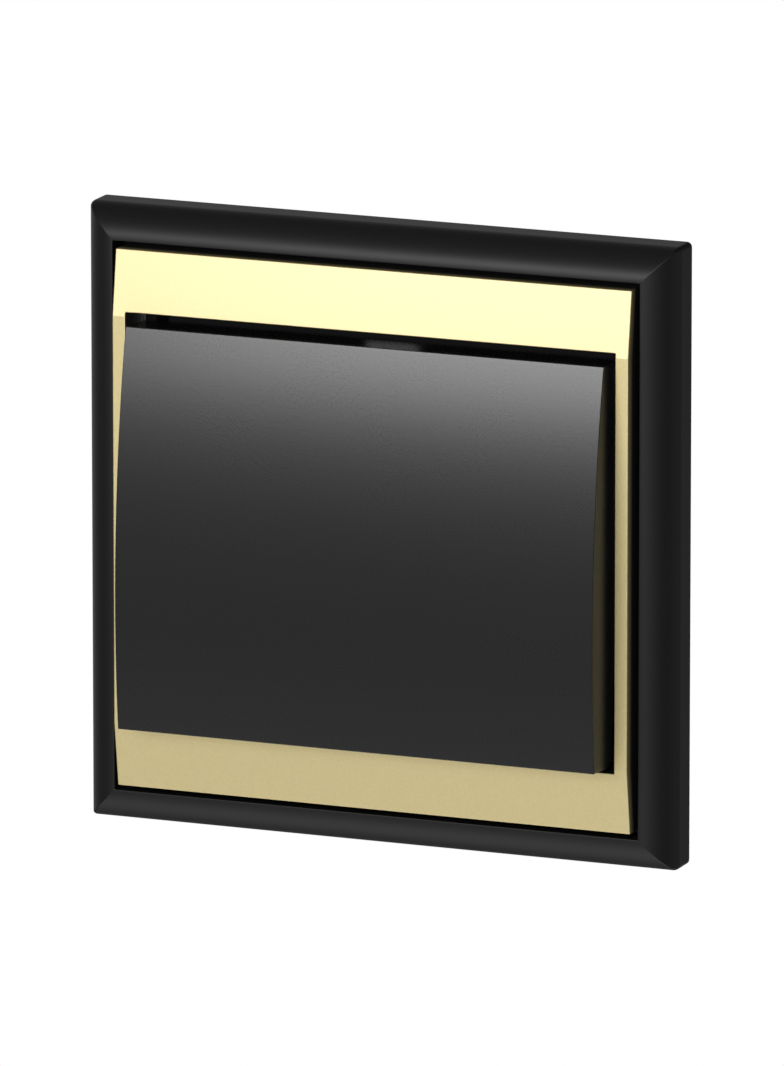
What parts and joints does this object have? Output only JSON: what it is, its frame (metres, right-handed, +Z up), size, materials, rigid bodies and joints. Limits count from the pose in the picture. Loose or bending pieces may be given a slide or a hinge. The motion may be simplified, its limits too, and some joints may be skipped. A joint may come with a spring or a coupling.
{
  "type": "rocker wall switch",
  "caption": "Flush wall light switch with a wide convex rocker, a square mitred outer frame, a metallic insert and a screwless two-way contact mechanism on a steel plate.",
  "frame": {"origin": "centre of the switch on the wall plane, in the middle of the support plate's opening", "axes": "+X to the right and +Z up as seen by someone facing the switch, +Y into the wall"},
  "size_m": [0.085, 0.0412, 0.085],
  "materials": {
    "black_plastic": "satin black moulded plastic",
    "rocker_plastic": "soft matte black moulded plastic",
    "gold_lacquer": "matte pale gold metallic lacquer",
    "zinc_steel": "zinc plated steel",
    "black_coated_steel": "steel with a satin black coating",
    "grey_plastic": "moulded thermoset, fine texture",
    "white_plastic": "natural white moulded plastic",
    "orange_plastic": "semi gloss moulded plastic",
    "brass": "stamped brass strip",
    "silver_contact": "silver alloy contact rivet",
    "spring_steel": "bright spring steel"
  },
  "bodies": {
    "base": {"outer_frame": "black_plastic", "trim_insert": "gold_lacquer", "support_plate": "black_coated_steel", "housing_cover": "grey_plastic", "base_housing": "grey_plastic", "cover_screw_upper": "zinc_steel", "cover_screw_lower": "zinc_steel", "common_contact": "brass", "fixed_contact_upper": "brass", "fixed_contact_lower": "brass", "fixed_tip_upper": "silver_contact", "fixed_tip_lower": "silver_contact", "clamp_spring_common": "spring_steel", "clamp_spring_upper": "spring_steel", "clamp_spring_lower": "spring_steel"},
    "rocker": {"rocker": "rocker_plastic", "rocker_cradle": "white_plastic", "plunger_spring": "spring_steel"},
    "plunger": {"plunger": "white_plastic"},
    "seesaw": {"contact_seesaw": "brass", "moving_tip_upper": "silver_contact", "moving_tip_lower": "silver_contact"},
    "release_common": {"release_lever_common": "orange_plastic"},
    "release_upper": {"release_lever_upper": "orange_plastic"},
    "release_lower": {"release_lever_lower": "orange_plastic"},
    "screw_left": {"claw_screw_left": "zinc_steel"},
    "screw_right": {"claw_screw_right": "zinc_steel"},
    "nut_left": {"claw_nut_left": "zinc_steel"},
    "nut_right": {"claw_nut_right": "zinc_steel"},
    "claw_left": {"claw_left": "zinc_steel"},
    "claw_right": {"claw_right": "zinc_steel"}
  },
  "joints": [
    {"name": "rocker_tilt", "type": "hinge", "parent": "base", "child": "rocker", "pos_m": [0, -0.005, 0], "axis": [1, 0, 0], "range_deg": [0, 6.6]},
    {"name": "seesaw_tilt", "type": "hinge", "parent": "base", "child": "seesaw", "pos_m": [0, 0.017, 0], "axis": [1, 0, 0], "range_deg": [-9.9, 0]},
    {"name": "plunger_slide", "type": "slide", "parent": "rocker", "child": "plunger", "axis": [0, -0.9983, 0.0576], "range_m": [0, 0.001], "stiffness_N_per_m": 300, "deforming": ["plunger_spring"]},
    {"name": "release_common_push", "type": "slide", "parent": "base", "child": "release_common", "axis": [0, -1, 0], "range_m": [0, 0.0012], "stiffness_N_per_m": 400},
    {"name": "release_upper_push", "type": "slide", "parent": "base", "child": "release_upper", "axis": [0, -1, 0], "range_m": [0, 0.0012], "stiffness_N_per_m": 400},
    {"name": "release_lower_push", "type": "slide", "parent": "base", "child": "release_lower", "axis": [0, -1, 0], "range_m": [0, 0.0012], "stiffness_N_per_m": 400},
    {"name": "claw_screw_left_turn", "type": "hinge", "parent": "base", "child": "screw_left", "pos_m": [-0.025, 0, 0], "axis": [0, 1, 0], "range_deg": [0, 360]},
    {"name": "claw_screw_right_turn", "type": "hinge", "parent": "base", "child": "screw_right", "pos_m": [0.025, 0, 0], "axis": [0, 1, 0], "range_deg": [0, 360]},
    {"name": "claw_nut_left_slide", "type": "slide", "parent": "base", "child": "nut_left", "axis": [0, -1, 0], "range_m": [0, 0.0007]},
    {"name": "claw_nut_right_slide", "type": "slide", "parent": "base", "child": "nut_right", "axis": [0, -1, 0], "range_m": [0, 0.0007]},
    {"name": "claw_left_swing", "type": "hinge", "parent": "base", "child": "claw_left", "pos_m": [-0.022, 0.014, 0], "axis": [0, 0, 1], "range_deg": [0, 20]},
    {"name": "claw_right_swing", "type": "hinge", "parent": "base", "child": "claw_right", "pos_m": [0.022, 0.014, 0], "axis": [0, 0, -1], "range_deg": [0, 20]}
  ],
  "couplings": [
    {"joint": "seesaw_tilt", "follows": "rocker_tilt", "ratio": -1.5},
    {"joint": "claw_screw_left_turn", "follows": "claw_nut_left_slide", "rad_per_m": 8976},
    {"joint": "claw_screw_right_turn", "follows": "claw_nut_right_slide", "rad_per_m": 8976},
    {"joint": "claw_left_swing", "follows": "claw_nut_left_slide", "rad_per_m": 498.67},
    {"joint": "claw_right_swing", "follows": "claw_nut_right_slide", "rad_per_m": 498.67}
  ]
}
